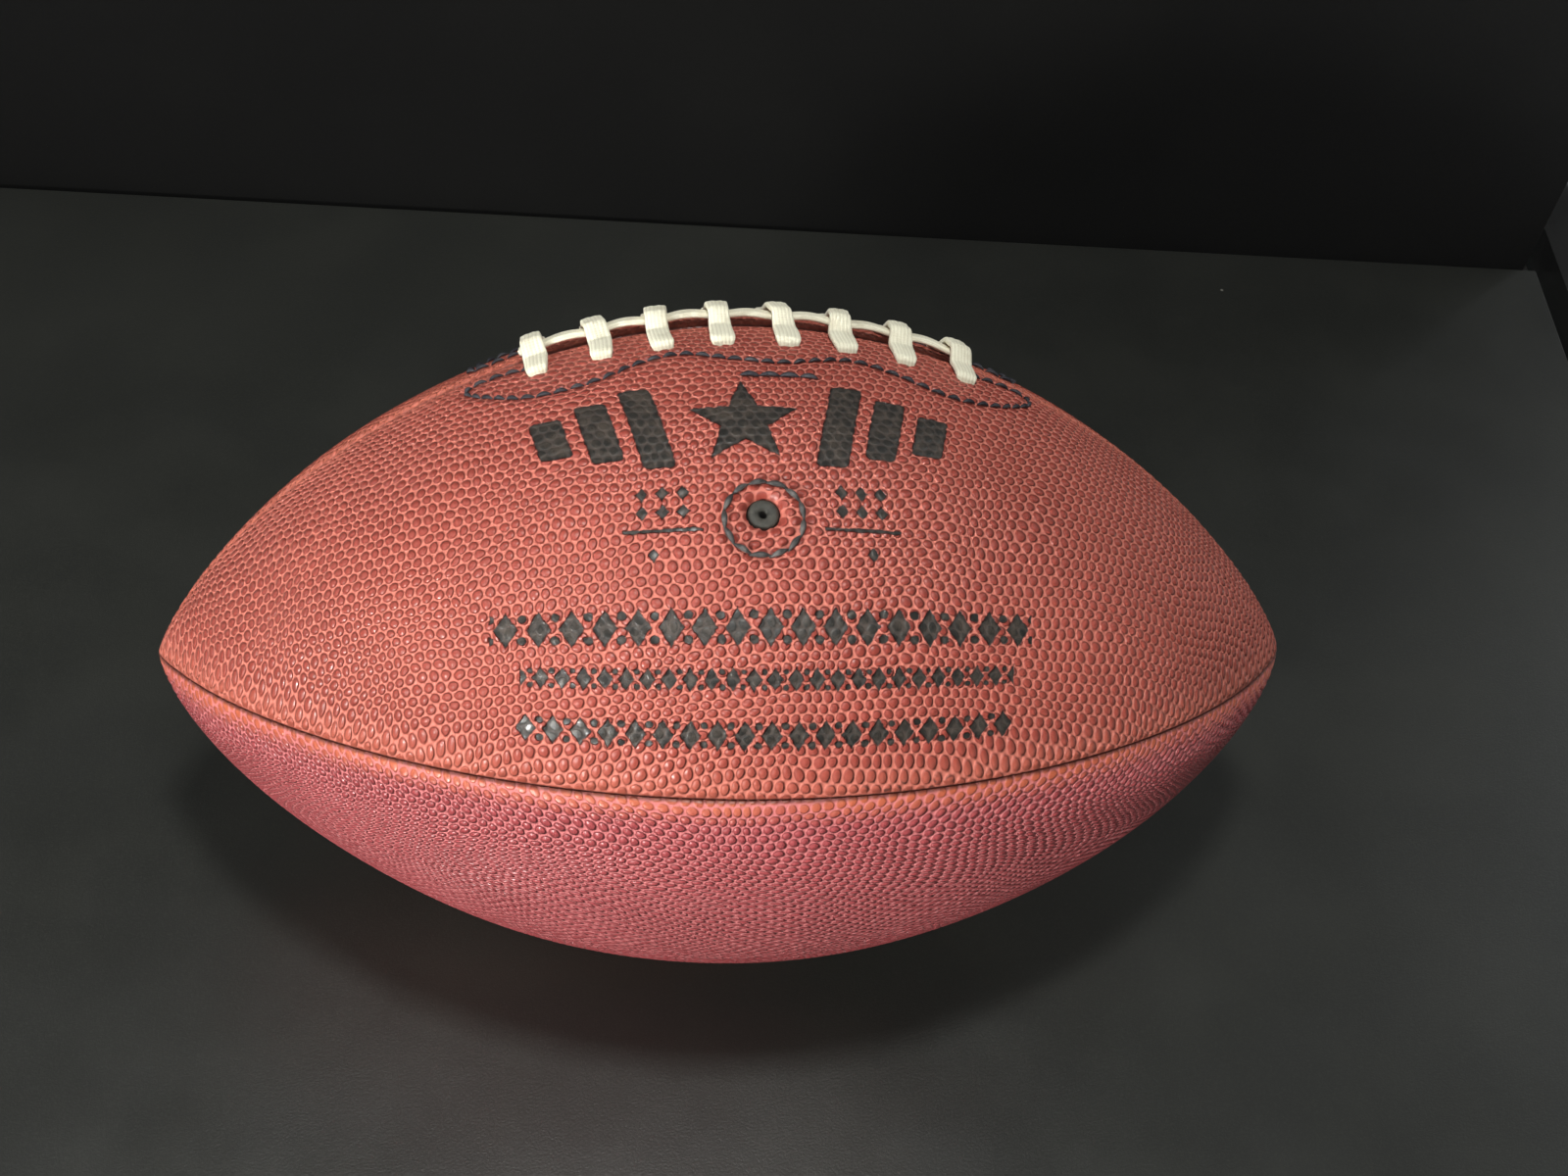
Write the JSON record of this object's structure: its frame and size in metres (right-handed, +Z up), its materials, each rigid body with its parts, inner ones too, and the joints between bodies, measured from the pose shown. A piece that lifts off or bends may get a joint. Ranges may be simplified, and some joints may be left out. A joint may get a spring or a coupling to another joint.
{
  "type": "football display case",
  "caption": "Tabletop display case with a black plinth, dark floor and back panels, and a clear lift-off cover over a laced leather football.",
  "frame": {"origin": "middle of the case's footprint, on the surface that the rubber feet stand on", "axes": "+Z up, +X to the viewer's right along the case's width, +Y from the front to the back panel"},
  "size_m": [0.668, 0.558, 0.3169],
  "materials": {
    "leather": "pebbled, tanned red-brown, worn",
    "lace": "off-white flat lace, ribbed",
    "valve_rubber": "dark grey rubber",
    "bladder": "black rubber, matt",
    "lining": "dark woven reinforcement",
    "floor": "fine-textured dark grey laminate",
    "backing": "matt black laminate",
    "board": "black stained board",
    "lacquer": "black lacquer, satin",
    "acrylic": "clear polished acrylic",
    "bracket_steel": "black powder coat",
    "screw_steel": "zinc-plated",
    "rubber_foot": "matt black rubber"
  },
  "bodies": {
    "case": {"base_board": "board", "deck_board": "board", "floor_panel": "floor", "back_panel": "backing", "rail_front": "lacquer", "rail_right": "lacquer", "rail_rear": "lacquer", "rail_left": "lacquer", "foot_front_left": "rubber_foot", "foot_screw_front_left": "screw_steel", "foot_front_right": "rubber_foot", "foot_screw_front_right": "screw_steel", "foot_rear_left": "rubber_foot", "foot_screw_rear_left": "screw_steel", "foot_rear_right": "rubber_foot", "foot_screw_rear_right": "screw_steel", "back_bracket_left": "bracket_steel", "deck_screw_left": "screw_steel", "panel_screw_left": "screw_steel", "back_bracket_right": "bracket_steel", "deck_screw_right": "screw_steel", "panel_screw_right": "screw_steel"},
    "cover": {"cover_front": "acrylic", "cover_rear": "acrylic", "cover_left": "acrylic", "cover_right": "acrylic", "cover_top": "acrylic"},
    "football": {"leather_upper_front": "leather", "leather_upper_rear": "leather", "leather_lower_rear": "leather", "leather_lower_front": "leather", "bladder": "bladder", "valve": "valve_rubber", "lace_facing": "lining", "lace_strand": "lace", "lace_cross_1": "lace", "lace_cross_2": "lace", "lace_cross_3": "lace", "lace_cross_4": "lace", "lace_cross_5": "lace", "lace_cross_6": "lace", "lace_cross_7": "lace", "lace_cross_8": "lace"}
  },
  "joints": [
    {"name": "cover_lift", "type": "slide", "parent": "case", "child": "cover", "axis": [0, 0, 1], "range_m": [0, 0.3]},
    {"name": "ball_lift", "type": "slide", "parent": "case", "child": "football", "axis": [0, 0, 1], "range_m": [0, 0.09]}
  ]
}
